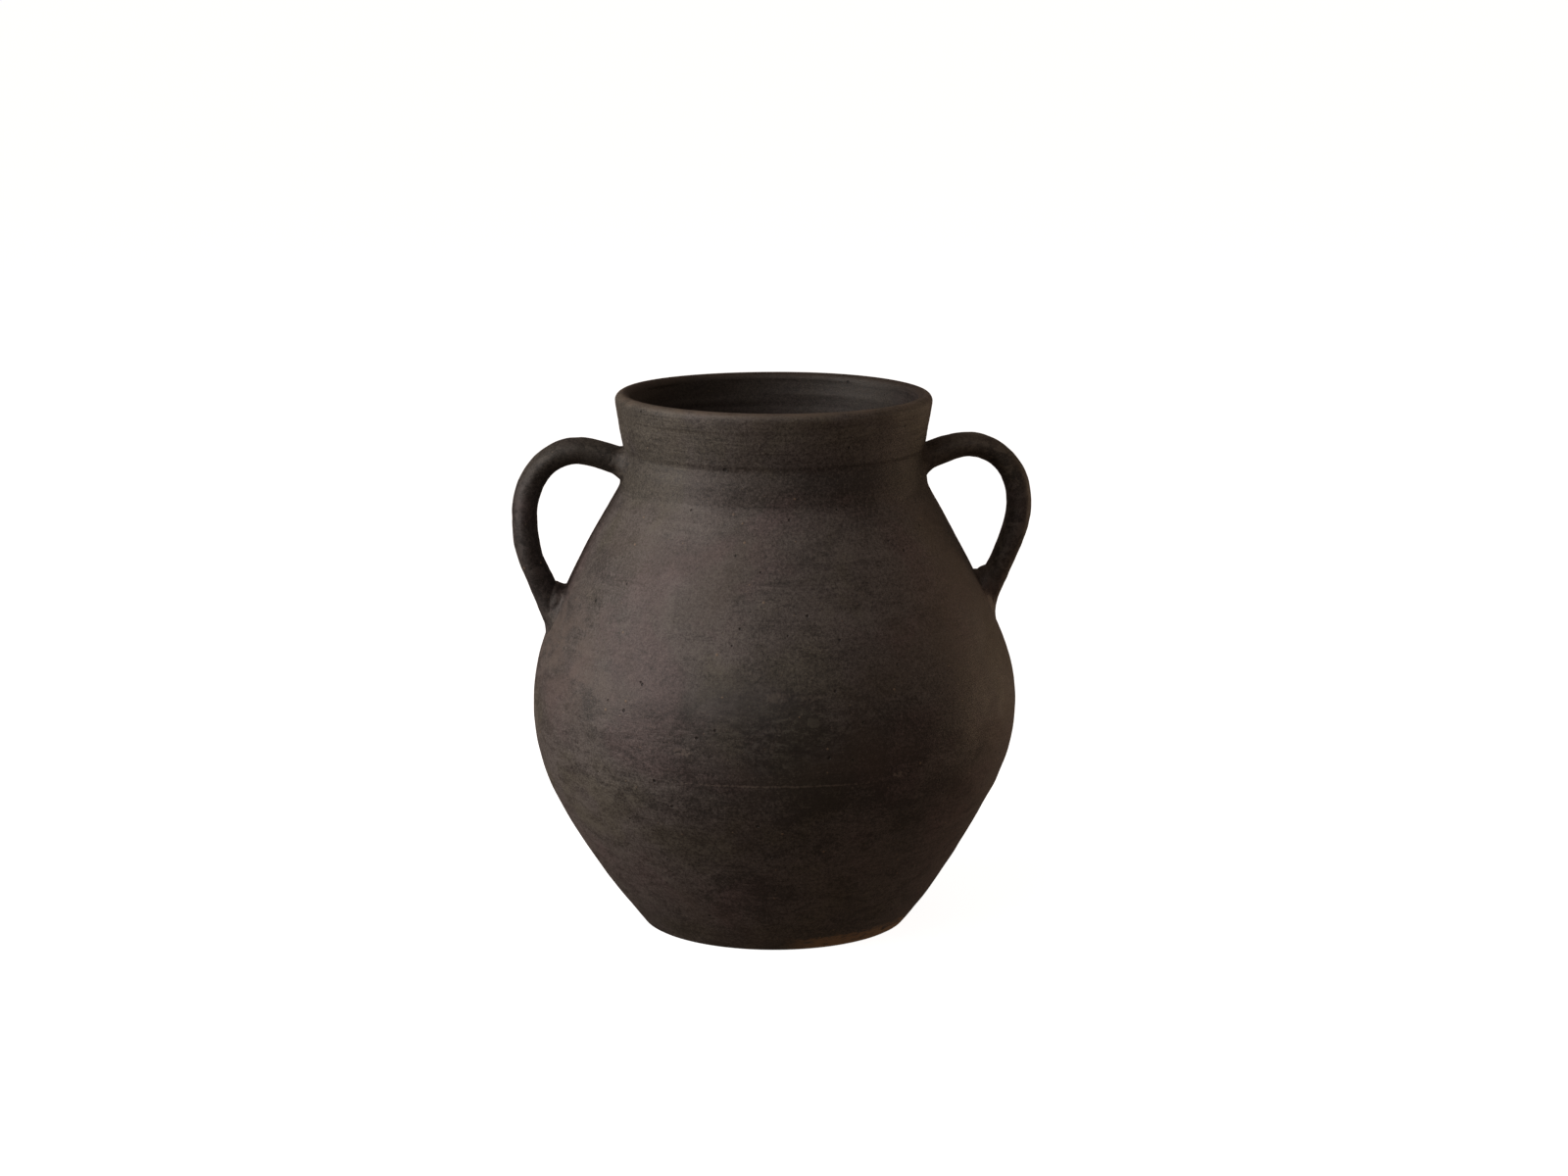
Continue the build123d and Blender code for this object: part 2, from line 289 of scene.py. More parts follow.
def lathe(name, loop, sides, corners, poles=False):
    """Turns a closed loop of (radius, height) mm round the axis and adds the unevenness.

    sides: 1 for the outer skin, 0 for a hidden seam, -1 for the inner skin, for each point.
    corners: indexes of the points where the outline has a hard edge.
    poles: the first and last points lie on the axis.
    """
    loop = np.array(loop, float)
    sides = np.array(sides, float)
    theta = np.linspace(0, 2 * np.pi, ROUND, endpoint=False)
    r = loop[:, 0][:, None] + 0 * theta[None, :]
    z = loop[:, 1][:, None] + 0 * theta[None, :]
    t = theta[None, :] + 0 * z
    outer = np.clip(sides, 0, 1)[:, None]
    inner = np.clip(-sides, 0, 1)[:, None]
    d = lean(t, z) * smooth(r, 20, 60)
    d = d + outer * skin(t, z)
    turn = t / (2 * np.pi)
    d = d + inner * (0.25 * field(turn, z / 3.2, 6, 61) + 0.35 * field(turn, z / 24, 18, 62))
    d = d * np.where(z < 0.01, 0.25, 1.0)
    rim = smooth(z, 262, 298)
    z = z + rim * rim_tilt(t)
    r = r + d
    pts = np.stack([r * np.cos(t), r * np.sin(t), z], -1) * MM
    m = len(loop)
    if poles:
        body = pts[1:-1].reshape(-1, 3)
        points = np.vstack([pts[0, :1], body, pts[-1, :1]])
        m2 = m - 2
        last = 1 + m2 * ROUND
        faces = []
        for k in range(ROUND):
            n = (k + 1) % ROUND
            faces.append((0, 1 + n, 1 + k))
            faces.append((last, last - ROUND + k, last - ROUND + n))
            for j in range(m2 - 1):
                a = 1 + j * ROUND
                faces.append((a + k, a + n, a + ROUND + n, a + ROUND + k))
        base = 1
        corner_rows = [c - 1 for c in corners]
    else:
        points = pts.reshape(-1, 3)
        faces = []
        for j in range(m):
            a = j * ROUND
            b = ((j + 1) % m) * ROUND
            for k in range(ROUND):
                n = (k + 1) % ROUND
                faces.append((a + k, a + n, b + n, b + k))
        base = 0
        corner_rows = corners
    sharp = []
    for c in corner_rows:
        a = base + c * ROUND
        sharp += [(a + k, a + (k + 1) % ROUND) for k in range(ROUND)]
    return make_mesh(name, points, faces, sharp)


def rows(points, count):
    """Even steps along a run of straight lines, first point kept, last one left out."""
    points = np.array(points, float)
    length = np.concatenate([[0], np.cumsum(np.linalg.norm(np.diff(points, axis=0), axis=1))])
    s = np.linspace(0, length[-1], count, endpoint=False)
    return np.stack([np.interp(s, length, points[:, 0]), np.interp(s, length, points[:, 1])], 1)


class Outline:
    """Collects the runs of a closed outline with their sides and hard corners."""

    def __init__(self):
        self.points, self.sides, self.corners = [], [], []

    def run(self, points, side, hard=True):
        if hard:
            self.corners.append(len(self.points))
        self.points += [tuple(p) for p in points]
        self.sides += [side] * len(points)

    def mark(self, index, side):
        self.sides[index] = side


def body_run(z0, z1, count, inset=0.0):
    z = np.linspace(z0, z1, 400)
    return rows(np.stack([body_radius(z, inset), z], 1), count)


def make_base():
    o = Outline()
    o.run([(0, 0)], 0, False)
    o.run(rows([(3, 0), (SLAB_BOTTOM, 0)], 8), 0, False)
    o.run(rows([(SLAB_BOTTOM, 0), (SLAB_TOP, FLOOR_THICK)], 4), 0)
    o.run(rows([(SLAB_TOP, FLOOR_THICK), (3, FLOOR_THICK)], 30), -1)
    o.run([(3, FLOOR_THICK)], -1, False)
    o.run([(0, FLOOR_THICK)], -1, False)
    return lathe("floor_slab_clay", o.points, o.sides, o.corners, poles=True)


def make_bowl():
    heel = 0.8
    foot = float(body_radius(0))
    a = np.linspace(-np.pi / 2, -0.6, 7)
    o = Outline()
    o.run(rows([(SLAB_BOTTOM, 0), (foot - heel, 0)], 4), 0)
    o.run(np.stack([foot - heel + heel * np.cos(a), heel + heel * np.sin(a)], 1), 0, False)
    o.run(body_run(heel * 0.8, BELLY_SEAM, 118), 1, False)
    seam_in = (float(body_radius(BELLY_SEAM - BELLY_BEVEL, WALL)), BELLY_SEAM - BELLY_BEVEL)
    o.run(rows([(float(body_radius(BELLY_SEAM)), BELLY_SEAM), seam_in], 3), 0)
    o.mark(len(o.points) - 3, 1)
    o.run(body_run(BELLY_SEAM - BELLY_BEVEL, FLOOR_THICK + 5, 44, WALL), -1)
    low_in = float(body_radius(FLOOR_THICK, WALL))
    b = np.linspace(0, np.pi / 2, 6)
    r = low_in - 4.5 * np.sin(b) + 2.9 * np.cos(b)
    o.run(np.stack([r, FLOOR_THICK + 5 - 5 * np.sin(b)], 1), -1, False)
    o.run(rows([(low_in - 6, FLOOR_THICK), (SLAB_TOP, FLOOR_THICK)], 3), -1, False)
    o.run(rows([(SLAB_TOP, FLOOR_THICK), (SLAB_BOTTOM, 0)], 4), 0)
    return lathe("lower_bowl_clay", o.points, o.sides, o.corners)


def make_shoulder():
    o = Outline()
    seam_in = (float(body_radius(BELLY_SEAM - BELLY_BEVEL, WALL)), BELLY_SEAM - BELLY_BEVEL)
    o.run(body_run(BELLY_SEAM, NECK_SEAM, 118), 1)
    o.run(rows([NECK_OUTER, NECK_INNER], 3), 0)
    o.mark(len(o.points) - 3, 1)
    o.run(body_run(NECK_SEAM - NECK_BEVEL, BELLY_SEAM - BELLY_BEVEL, 56, WALL), -1)
    o.run(rows([seam_in, (float(body_radius(BELLY_SEAM)), BELLY_SEAM)], 3), 0)
    o.mark(len(o.points) - 3, -1)
    return lathe("shoulder_wall_clay", o.points, o.sides, o.corners)


def make_band():
    t = np.linspace(0, 1, 80)
    o = Outline()
    o.run(rows(through(NECK_OUTER, BAND_MIDDLE, COLLAR_OUTER, t), 30), 1)
    o.run(rows([COLLAR_OUTER, COLLAR_INNER], 3), 0)
    o.mark(len(o.points) - 3, 1)
    o.run(rows(through(COLLAR_INNER, (75.9, 253.4), NECK_INNER, t), 16), -1)
    o.run(rows([NECK_INNER, NECK_OUTER], 3), 0)
    o.mark(len(o.points) - 3, -1)
    return lathe("neck_band_clay", o.points, o.sides, o.corners)


def make_collar():
    t = np.linspace(0, 1, 80)
    start = math.radians(-12)
    lip_outer = (LIP_C[0] + LIP_RADIUS * math.cos(start), LIP_C[1] + LIP_RADIUS * math.sin(start))
    a = np.linspace(start, math.pi, 26)
    o = Outline()
    foot = through(COLLAR_OUTER, (82.9, 269.2), COLLAR_FOOT, t)
    face = through(COLLAR_FOOT, (85.5, 280.4), lip_outer, t)
    o.run(rows(np.vstack([foot, face[1:]]), 44), 1)
    lip = np.stack([LIP_C[0] + LIP_RADIUS * np.cos(a), LIP_C[1] + LIP_RADIUS * np.sin(a)], 1)
    o.run(lip[:-1], 0.5, False)
    inside = through((LIP_CIRCLE - LIP_RADIUS, LIP_C[1]), (76.9, 279), COLLAR_INNER, t)
    o.run(rows(inside, 30), -1, False)
    o.run(rows([COLLAR_INNER, COLLAR_OUTER], 3), 0)
    o.mark(len(o.points) - 3, -1)
    return lathe("rim_collar_clay", o.points, o.sides, o.corners)


# ---------------------------------------------------------------- handles

LEFT, RIGHT = -1, 1

# Middle of each strap from the neck to the tail: distance from the axis and height
STRAP_LINES = {
    LEFT: [(77, 259), (93, 264.6), (109.5, 268.2), (127, 261.5), (136.8, 246),
           (139, 230.5), (135.2, 206.5), (128.8, 190), (118.5, 163)],
    RIGHT: [(77, 259.7), (93, 265.8), (109.5, 269.2), (127.2, 262.4), (136.8, 246.3),
            (137.9, 233), (133.2, 214), (125.8, 196.5), (115, 168)],
}
STRAP_SEEDS = {LEFT: 200, RIGHT: 300}
HALF_THICK = {LEFT: 7.1, RIGHT: 6.7}
HALF_DEEP = 11.75
SECTION_POWER = 2.0 / 2.25        # a little squarer than an ellipse

# Clay added on the side that faces the jar, for the round bottom of the loop:
# mm, and its place and reach along the strap
LOOP_SWELL = {LEFT: (1.1, 0.80, 0.06), RIGHT: (0.9, 0.825, 0.035)}

# Clay pads: name, node, side, seed,
# foot on the wall (height of its middle, reach up, down and round in mm),
# end on the strap (place along it, and how much further it is at the top of the foot),
# grooves pressed by a thumb (angle, width, depth in mm, slant)
PADS = [
    ("left_neck_pad", "left_upper_luting", LEFT, 400, (260.8, 10.2, 11.6, 25.0), (0.12, 0.0),
     [(4.4, 0.22, 1.2, 0.9), (5.3, 0.2, 0.7, -0.4)]),
    ("right_neck_pad", "right_upper_luting", RIGHT, 500, (261.2, 10.0, 11.2, 24.0), (0.115, 0.0),
     [(4.6, 0.25, 1.0, -0.8)]),
    ("left_tail_pad", "left_lower_luting", LEFT, 600, (180.0, 14.5, 18.0, 18.0), (0.835, -0.030),
     [(4.5, 0.3, 0.8, 0.6)]),
    ("right_tail_pad", "right_lower_luting", RIGHT, 700, (184.0, 14.0, 18.5, 18.5), (0.83, -0.040),
     [(4.5, 0.3, 0.8, -0.6)]),
]


def smooth_line(knots, count):
    """A natural cubic spline through the knots, as count points in even steps of its parameter."""
    p = np.array(knots, float)
    s = np.concatenate([[0], np.cumsum(np.linalg.norm(np.diff(p, axis=0), axis=1))])
    h = np.diff(s)
    n = len(p)
    a = np.eye(n)
    b = np.zeros_like(p)
    for i in range(1, n - 1):
        a[i, i - 1], a[i, i], a[i, i + 1] = h[i - 1], 2 * (h[i - 1] + h[i]), h[i]
        b[i] = 6 * ((p[i + 1] - p[i]) / h[i] - (p[i] - p[i - 1]) / h[i - 1])
    m = np.linalg.solve(a, b)
    x = np.linspace(0, s[-1], count)
    i = np.clip(np.searchsorted(s, x) - 1, 0, n - 2)
    u = (x - s[i])[:, None]
    v = (s[i + 1] - x)[:, None]
    hi = h[i][:, None]
    return (m[i] * v ** 3 + m[i + 1] * u ** 3) / (6 * hi) + (p[i] / hi - m[i] * hi / 6) * v \
        + (p[i + 1] / hi - m[i + 1] * hi / 6) * u


def strap_surface(side, t, u):
    """Points in mm on the strap's skin: t from 0 at the neck to 1 at the tail, u round the section.

    u = 0 faces away from the jar, u = pi/2 faces the back (+Y).
    """
    seed = STRAP_SEEDS[side]
    line = smooth_line(STRAP_LINES[side], 600)
    grid = np.linspace(0, 1, 600)
    slope = np.gradient(line, grid, axis=0)
    slope = slope / np.linalg.norm(slope, axis=1)[:, None]
    t, u = np.broadcast_arrays(np.asarray(t, float), np.asarray(u, float))
    cx = np.interp(t, grid, line[:, 0])
    cz = np.interp(t, grid, line[:, 1])
    tx = np.interp(t, grid, slope[:, 0])
    tz = np.interp(t, grid, slope[:, 1])
    turn = u / (2 * np.pi)
    thick = HALF_THICK[side] + 0.5 * bump(t, 0.0, 0.16) - 0.7 * smooth(t, 0.62, 1.0)
    deep = HALF_DEEP + 1.2 * bump(t, 0.0, 0.16) - 0.7 * smooth(t, 0.62, 1.0)
    thick = thick + 0.25 * field(t * 0.97, 0 * t + 0.4, 9, seed, False)
    deep = deep + 0.45 * field(t * 0.97, 0 * t + 3.4, 7, seed + 1, False)
    c, s = np.cos(u), np.sin(u)
    swell, swell_at, swell_reach = LOOP_SWELL[side]
    thick = thick + swell * bump(t, swell_at, swell_reach) * (c < 0)
    across = thick * np.sign(c) * np.abs(c) ** SECTION_POWER
    depth = deep * np.sign(s) * np.abs(s) ** SECTION_POWER
    rough = 0.16 * field(turn, t * 9 + 1, 13, seed + 2) + 0.22 * field(turn, t * 16 + 5, 6, seed + 3) \
        + 0.10 * field(turn, t * 46 + 5, 17, seed + 4)
    across = across + rough * c
    depth = depth + rough * s + 0.5 * np.sin(3.1 * t * np.pi + seed)
    # the outward normal in the plane of the loop is the slope turned a quarter turn away from the jar
    return np.stack([side * (cx - tz * across), depth, cz + tx * across], -1)


def make_handle(name, side):
    around, along = 72, 260
    t = np.linspace(0.02, 0.985, along)[:, None]
    u = np.linspace(0, 2 * np.pi, around, endpoint=False)[None, :]
    pts = strap_surface(side, t, u)
    points = np.vstack([pts.reshape(-1, 3), pts[0].mean(0)[None], pts[-1].mean(0)[None]]) * MM
    faces = []
    for j in range(along - 1):
        for k in range(around):
            n = (k + 1) % around
            quad = (j * around + k, j * around + n, (j + 1) * around + n, (j + 1) * around + k)
            faces.append(quad if side > 0 else quad[::-1])
    first, last = along * around, along * around + 1
    for k in range(around):
        n = (k + 1) % around
        a = (first, n, k)
        b = (last, (along - 1) * around + k, (along - 1) * around + n)
        faces.append(a if side > 0 else a[::-1])
        faces.append(b if side > 0 else b[::-1])
    return make_mesh(name, points, faces)


# ---------------------------------------------------------------- luting clay

def wall_point(theta, z, off=0.0):
    r = outer_radius(z) + lean(theta, z) + 0.6 * skin(theta, z) + off
    return np.stack([r * np.cos(theta), r * np.sin(theta), z], -1)


def make_luting(name, side, seed, foot, strap_end, grooves):
    """Clay pressed round one end of a strap: a flared ring from the strap's skin down on to the wall."""
    foot_z, half_up, half_down, half_wide = foot
    strap_at, strap_tilt = strap_end
    around, along = 144, 30
    u = np.linspace(0, 2 * np.pi, around, endpoint=False)
    turn = u / (2 * np.pi)
    c, s = np.cos(u), np.sin(u)
    ragged = 1 + 0.10 * field(turn, 0 * u + 0.3, 9, seed) + 0.05 * field(turn, 0 * u + 2.3, 21, seed + 1)
    # on the wall, c runs up or down the wall and s runs round it
    up = np.where(c > 0, half_up, half_down) * c * ragged
    z = foot_z + up
    mean_r = float(outer_radius(foot_z))
    middle = 0.0 if side > 0 else np.pi
    theta = middle + side * half_wide * s * ragged / mean_r
    wall = wall_point(theta, z, -0.35)
    deep_wall = wall_point(middle + (theta - middle) * 0.97, foot_z + up * 0.97, -3.0)
    heel = wall_point(np.full_like(u, middle), np.full_like(u, foot_z))
    outward = wall - heel
    outward = outward / np.linalg.norm(outward, axis=1)[:, None]
    t_end = strap_at + strap_tilt * c + 0.006 * field(turn, 0 * u + 4.3, 8, seed + 2)
    toward = 1 if strap_at > 0.5 else -1
    # strap_surface's u = 0 is the side away from the jar, which is up at the neck and down at the tail
    su = u if strap_at < 0.5 else np.pi - u
    strap = strap_surface(side, t_end, su)
    step = strap_surface(side, t_end + toward * 0.004, su)
    run = step - strap
    run = run / np.linalg.norm(run, axis=1)[:, None]
    middle_strap = strap.mean(0)[None]
    strap = strap + (middle_strap - strap) * 0.03
    gap = np.linalg.norm(wall - strap, axis=1)[:, None]
    rows_out = []
    # the clay inside the loop of a tail fills the corner against the strap
    fill = 1.4 * np.clip(c + 0.2, 0, 1) if strap_at > 0.5 else 0 * c
    for v in np.linspace(0, 1, along):
        h00, h10 = 2 * v ** 3 - 3 * v ** 2 + 1, v ** 3 - 2 * v ** 2 + v
        h01, h11 = -2 * v ** 3 + 3 * v ** 2, v ** 3 - v ** 2
        p = h00 * strap + h10 * run * gap * 1.05 + h01 * wall + h11 * outward * gap * 1.05
        lump = math.sin(math.pi * v) * (0.35 * field(turn, 0 * u + v * 5, 11, seed + 3)
                                        + 0.2 * field(turn, 0 * u + v * 9, 25, seed + 4))
        groove = 0.0
        for at, reach, depth, slope in grooves:
            angle = np.mod(u - at - slope * (v - 0.5) + np.pi, 2 * np.pi) - np.pi
            groove = groove - depth * bump(angle, 0.0, reach) * math.sin(math.pi * v) ** 1.5
        away = p - (heel * 0.5 + middle_strap * 0.5)
        away = away / np.linalg.norm(away, axis=1)[:, None]
        corner = fill * bump(v, 0.32, 0.30) * math.sin(math.pi * v) ** 0.5
        rows_out.append(p + away * (lump + groove + corner)[:, None])
    deep_strap = strap + (middle_strap - strap) * 0.35
    rows_out = [deep_strap] + rows_out + [deep_wall, 0.5 * (deep_wall + deep_strap)]
    grid = np.array(rows_out)
    m = len(grid)
    faces = []
    for j in range(m):
        n = (j + 1) % m
        for k in range(around):
            q = (k + 1) % around
            faces.append((j * around + k, j * around + q, n * around + q, n * around + k))
    points = grid.reshape(-1, 3) * MM
    obj = make_mesh(name, points, faces)
    volume = 0.0
    for f in obj.data.polygons:
        a, b, d, e = (obj.data.vertices[i].co for i in f.vertices)
        volume += a.dot(b.cross(d)) + a.dot(d.cross(e))
    if volume < 0:
        obj.data.flip_normals()
    return obj


# ---------------------------------------------------------------- materials

class Nodes:
    """Short ways to add and join shader nodes."""

    def __init__(self, name):
        self.mat = bpy.data.materials.new(name)
        self.mat.use_nodes = True
        self.tree = self.mat.node_tree
        self.bsdf = self.tree.nodes["Principled BSDF"]
        coord = self.tree.nodes.new("ShaderNodeTexCoord")
        self.place = coord.outputs["Object"]
        split = self.tree.nodes.new("ShaderNodeSeparateXYZ")
        self.tree.links.new(self.place, split.inputs[0])
        self.x, self.y, self.z = split.outputs

    def put(self, socket, value):
        if isinstance(value, bpy.types.NodeSocket):
            self.tree.links.new(value, socket)
        elif hasattr(value, "__len__") and len(value) == 3 and socket.type == "RGBA":
            socket.default_value = (*value, 1)
        else:
            socket.default_value = value

    def math(self, kind, a, b=0.0, c=0.0):
        n = self.tree.nodes.new("ShaderNodeMath")
        n.operation = kind
        for k, v in enumerate((a, b, c)):
            self.put(n.inputs[k], v)
        return n.outputs[0]

    def add(self, a, b):
        return self.math("ADD", a, b)

    def sub(self, a, b):
        return self.math("SUBTRACT", a, b)

    def mul(self, product, *factors):
        for factor in factors:
            product = self.math("MULTIPLY", product, factor)
        return product

    def scaled(self, sx, sy, sz, turn=(0, 0, 0), shift=(0, 0, 0)):
        n = self.tree.nodes.new("ShaderNodeMapping")
        n.inputs["Scale"].default_value = (sx, sy, sz)
        n.inputs["Rotation"].default_value = turn
        n.inputs["Location"].default_value = shift
        self.put(n.inputs["Vector"], self.place)
        return n.outputs[0]

    def noise(self, vector, scale, detail, rough, distort=0.0):
        n = self.tree.nodes.new("ShaderNodeTexNoise")
        self.put(n.inputs["Vector"], vector)
        n.inputs["Scale"].default_value = scale
        n.inputs["Detail"].default_value = detail
        n.inputs["Roughness"].default_value = rough
        n.inputs["Distortion"].default_value = distort
        return n.outputs["Fac"]

    def ramp(self, value, low, high, to_low=0.0, to_high=1.0, kind="SMOOTHSTEP"):
        n = self.tree.nodes.new("ShaderNodeMapRange")
        n.interpolation_type = kind
        for k, v in enumerate((value, low, high, to_low, to_high)):
            self.put(n.inputs[k], v)
        return n.outputs[0]

    def level(self, value, low, high, to_low, to_high):
        """A straight ramp."""
        return self.ramp(value, low, high, to_low, to_high, "LINEAR")

    def swing(self, value, reach, low=0.3, high=0.7):
        """A straight ramp from -reach to reach."""
        return self.level(value, low, high, -reach, reach)

    def front(self, start, full):
        """Fades in on the side the photo shows: 0 at y = start, 1 at y = full."""
        return self.ramp(self.y, start, full)

    def mix(self, factor, a, b, kind="MIX"):
        n = self.tree.nodes.new("ShaderNodeMix")
        n.data_type = "RGBA"
        n.blend_type = kind
        self.put(n.inputs["Factor"], factor)
        self.put([s for s in n.inputs if s.name == "A" and s.type == "RGBA"][0], a)
        self.put([s for s in n.inputs if s.name == "B" and s.type == "RGBA"][0], b)
        return [s for s in n.outputs if s.type == "RGBA"][0]

    def spots(self, scale, size, share, seed):
        """Sparse round spots: scale cells to the metre, size as a share of a cell, in that share of cells."""
        n = self.tree.nodes.new("ShaderNodeTexVoronoi")
        self.put(n.inputs["Vector"], self.scaled(1, 1, 1, shift=(seed, seed * 0.7, seed * 1.3)))
        n.inputs["Scale"].default_value = scale
        keep = self.tree.nodes.new("ShaderNodeSeparateColor")
        self.tree.links.new(n.outputs["Color"], keep.inputs[0])
        chosen = self.level(keep.outputs[0], share, share * 0.98, 0, 1)
        width = self.math("MULTIPLY_ADD", keep.outputs[1], size * 0.8, size * 0.35)
        inside = self.ramp(n.outputs["Distance"], width, self.mul(width, 0.55), 0, 1)
        return self.mul(chosen, inside)

    def gauss(self, *pairs):
        """A soft patch: the product of bell curves, one for each (value, centre, width)."""
        total = None
        for value, centre, width in pairs:
            d = self.math("DIVIDE", self.sub(value, centre), width)
            d = self.mul(d, d)
            total = d if total is None else self.add(total, d)
        return self.math("EXPONENT", self.mul(total, -1.0))


# Clay from smoke-black to bare, as brightness and tint
CLAY_STEPS = [(0.034, (1.00, 0.88, 0.80)), (0.078, (1.04, 0.92, 0.86)), (0.132, (1.04, 0.94, 0.88))]
EARTH, OCHRE = (0.088, 0.066, 0.048), (0.30, 0.190, 0.095)
# the last colour here is a painted highlight for the top of the lip
FLECK, SCUFF, LIP_HIGHLIGHT = (0.098, 0.093, 0.086), (0.195, 0.165, 0.142), (0.125, 0.098, 0.075)
FLUSH, SHEEN = (0.138, 0.108, 0.092), (0.066, 0.067, 0.069)
CRUMB, SPECK, PIT = (0.19, 0.155, 0.12), (0.26, 0.19, 0.13), (0.006, 0.005, 0.004)

# The lower half is scraped down to the right
SCRAPED = (0, math.radians(-52), 0)

# Pale scuffs on the front: place across and up, half width and half height in metres, strength
MARKS = [(-0.010, 0.1080, 0.0540, 0.0006, 0.42),    # long thin scratch
         (0.057, 0.1106, 0.0036, 0.0014, 0.60),     # chip
         (-0.059, 0.1248, 0.0050, 0.0022, 0.40),
         (-0.009, 0.1555, 0.0080, 0.0026, 0.18),
         (0.010, 0.1553, 0.0060, 0.0018, 0.18)]


def base_noises(n):
    """The noises that tone, colour and relief share."""
    n.cloud = n.noise(n.scaled(1, 1, 1.4), 9.0, 4.0, 0.55, 0.6)
    n.mottle = n.noise(n.scaled(1, 1, 1.2, shift=(3, 1, 2)), 55.0, 5.0, 0.62, 0.4)
    n.grit = n.noise(n.place, 1500.0, 2.0, 0.6)
    n.grain = n.noise(n.place, 620.0, 3.0, 0.62)


def body_noises(n):
    """The noises of the turned and scraped body, and the parts above and below its wavering belly line."""
    n.patchy = n.noise(n.scaled(1, 1, 2.2, shift=(2, 8, 6)), 24.0, 3.0, 0.6, 0.3)
    n.showing = n.ramp(n.patchy, 0.42, 0.66, 0.15, 1.0)
    n.streak = n.noise(n.scaled(8, 8, 560), 1.0, 5.0, 0.70)
    n.fine_streak = n.noise(n.scaled(22, 22, 1500, shift=(1, 5, 3)), 1.0, 3.0, 0.6)
    n.slant = n.noise(n.scaled(34, 60, 330, turn=SCRAPED), 1.0, 4.0, 0.6)
    n.smudge = n.ramp(n.noise(n.scaled(1, 1, 1.7, shift=(5, 5, 9)), 36.0, 5.0, 0.68, 1.2), 0.53, 0.58)
    line = n.add(n.z, n.swing(n.mottle, 0.011))
    line = n.add(line, n.swing(n.cloud, 0.010))
    n.upper = n.ramp(line, 0.146, 0.160)
    n.lower = n.sub(1.0, n.upper)


def turned(n, tone):
    """Patchy turning lines, strongest on the collar, and paler clay above the belly line."""
    strength = n.add(n.ramp(n.upper, 0, 1, 0.45, 1.0), n.ramp(n.z, 0.255, 0.272))
    tone = n.add(tone, n.mul(n.swing(n.streak, 0.13, 0.36, 0.64), n.mul(n.showing, strength)))
    tone = n.add(tone, n.mul(n.swing(n.fine_streak, 0.10, 0.36, 0.64), n.showing))
    return n.add(tone, n.mul(n.upper, 0.11))


def scraped(n, tone):
    """Slanting scraped marks and blotches on the lower half."""
    tone = n.add(tone, n.mul(n.level(n.slant, 0.35, 0.72, -0.08, 0.11), n.lower))
    blotch = n.noise(n.scaled(1, 1, 1.5, shift=(7, 3, 5)), 95.0, 4.0, 0.65, 0.8)
    return n.add(tone, n.mul(n.level(blotch, 0.38, 0.60, -0.12, 0.09), n.lower))


def smudged(n, tone):
    """Smudges with crisp edges, dark and pale."""
    tone = n.sub(tone, n.mul(n.smudge, n.ramp(n.upper, 0, 1, 0.30, 0.19)))
    smear = n.ramp(n.noise(n.scaled(1, 1, 3.2, shift=(6, 2, 8)), 30.0, 5.0, 0.66, 0.8), 0.57, 0.64)
    return n.add(tone, n.mul(smear, 0.15))


def scratched(n, tone):
    """Fine pale scratches, long and slightly slanted."""
    scratch = n.noise(n.scaled(9, 40, 640, (0, math.radians(-9), 0), (3, 2, 7)), 1.0, 2.0, 0.5)
    scratch = n.mul(n.ramp(scratch, 0.66, 0.72), n.ramp(n.patchy, 0.46, 0.60))
    return n.add(tone, n.mul(scratch, 0.24))


def wiped(n, tone):
    """Pale finger smears running up the left of the shoulder."""
    wipe = n.noise(n.scaled(85, 85, 9, shift=(4, 7, 2)), 1.0, 3.0, 0.6, 0.2)
    where = n.mul(n.gauss((n.x, -0.060, 0.034), (n.z, 0.205, 0.040)), n.front(-0.02, -0.05))
    return n.add(tone, n.mul(where, n.ramp(wipe, 0.48, 0.66, -0.03, 0.24)))


def dragged(n, tone):
    """Dark broken drag lines across the middle of the shoulder."""
    drag = n.noise(n.scaled(26, 26, 520, (0, math.radians(4), 0), (6, 3, 4)), 1.0, 5.0, 0.72)
    where = n.mul(n.gauss((n.x, 0.012, 0.046), (n.z, 0.203, 0.024)), n.front(-0.02, -0.05))
    drag = n.mul(n.ramp(drag, 0.50, 0.60), n.ramp(n.smudge, 0.0, 1.0, 0.45, 1.0))
    return n.sub(tone, n.mul(n.mul(where, drag), 0.26))


def gouged(n, tone):
    """Single scrapes on the lower half, pale and dark."""
    scrape = n.noise(n.scaled(20, 60, 420, SCRAPED, (8, 8, 1)), 1.0, 3.0, 0.55)
    scrape = n.sub(n.ramp(scrape, 0.60, 0.67, 0.0, 0.22), n.ramp(scrape, 0.40, 0.33, 0.0, 0.20))
    return n.add(tone, n.mul(scrape, n.lower, n.ramp(n.patchy, 0.40, 0.58)))


